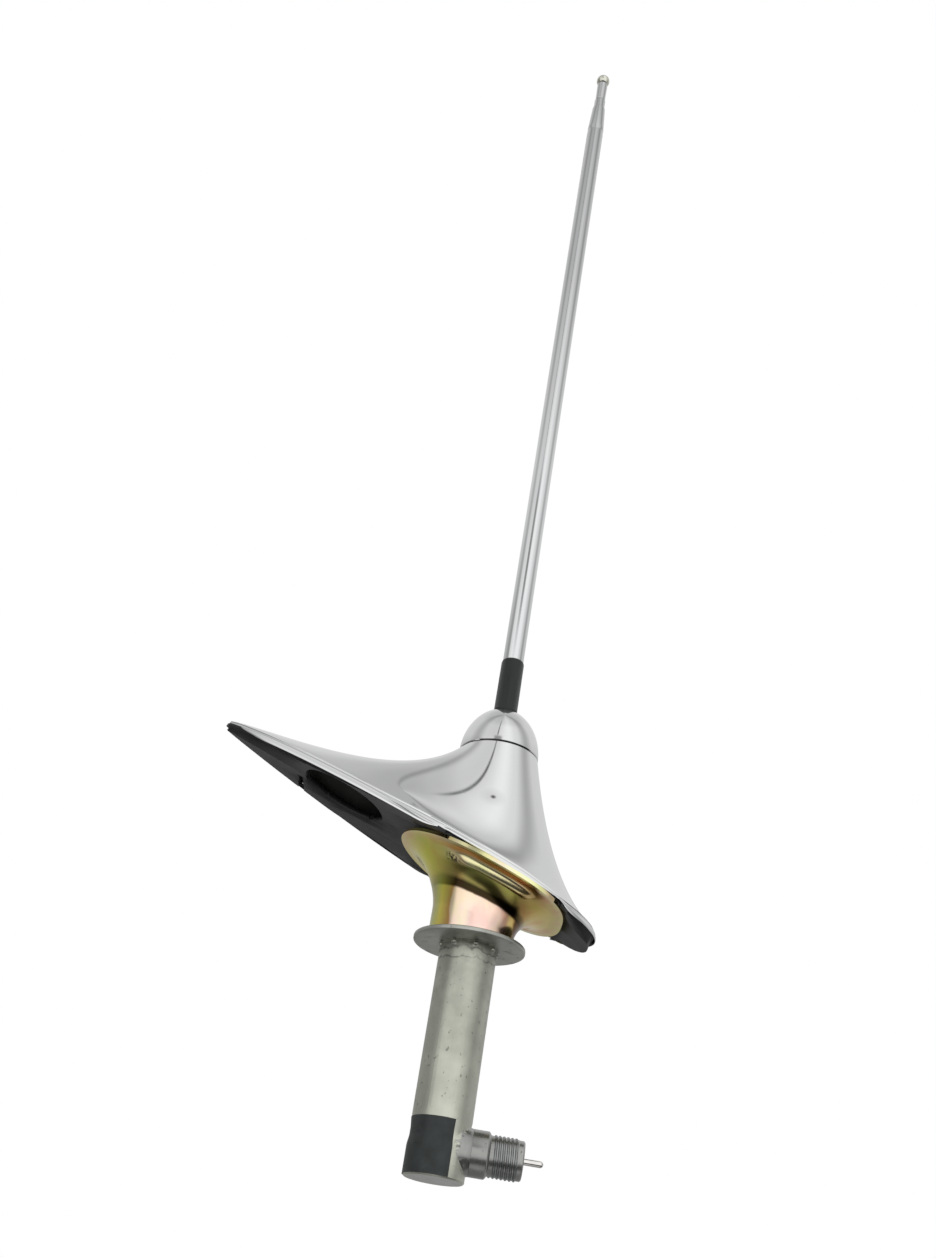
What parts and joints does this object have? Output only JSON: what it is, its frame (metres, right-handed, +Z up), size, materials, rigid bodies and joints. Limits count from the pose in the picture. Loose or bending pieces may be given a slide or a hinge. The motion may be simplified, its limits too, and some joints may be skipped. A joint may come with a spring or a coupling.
{
  "type": "telescopic car antenna",
  "caption": "Telescopic car wing antenna with a swept teardrop base, domed cap nut, under-panel clamp and side coaxial outlet.",
  "frame": {"origin": "where the mast's axis meets the panel seat under the base", "axes": "+Z up along the mast, +X towards the round front of the base and the cable outlet; the panel seat slopes down 22.1 degrees towards +X"},
  "size_m": [0.1395, 0.052, 0.5261],
  "materials": {
    "chrome_base": "polished chrome plate",
    "mast_chrome": "polished chrome plate",
    "yellow_zinc": "yellow passivated zinc plate, iridescent",
    "cast_zinc": "dull die-cast metal",
    "dark_steel": "turned and darkened",
    "nickel": "bright nickel",
    "brass": "bright turned",
    "copper_wire": "tinned copper",
    "black_rubber": "matt moulded",
    "black_plastic": "satin moulded",
    "white_plastic": "natural",
    "label_black": "blank film"
  },
  "bodies": {
    "antenna_base": {"base_bezel": "chrome_base", "gasket": "black_rubber", "under_panel_clamp": "yellow_zinc", "support_flange": "cast_zinc", "body_casting": "cast_zinc", "cap_nut": "chrome_base", "cap_seal": "black_rubber", "insulator_sleeve": "black_plastic", "upper_bush": "white_plastic", "lower_bush": "white_plastic", "mast_outer_tube": "mast_chrome", "mast_ferrule": "brass", "inner_conductor": "copper_wire", "end_plug": "cast_zinc", "outlet_shell": "dark_steel", "outlet_insulator": "white_plastic", "contact_pin": "nickel", "blank_label": "label_black"},
    "middle_section": {"mast_middle_tube": "mast_chrome", "middle_guide_bush": "brass"},
    "inner_section": {"mast_inner_rod": "mast_chrome", "inner_guide_bush": "brass", "mast_tip": "nickel"}
  },
  "joints": [
    {"name": "middle_slide", "type": "slide", "parent": "antenna_base", "child": "middle_section", "axis": [0, 0, 1], "range_m": [0, 0.325]},
    {"name": "inner_slide", "type": "slide", "parent": "middle_section", "child": "inner_section", "axis": [0, 0, 1], "range_m": [0, 0.34]}
  ]
}
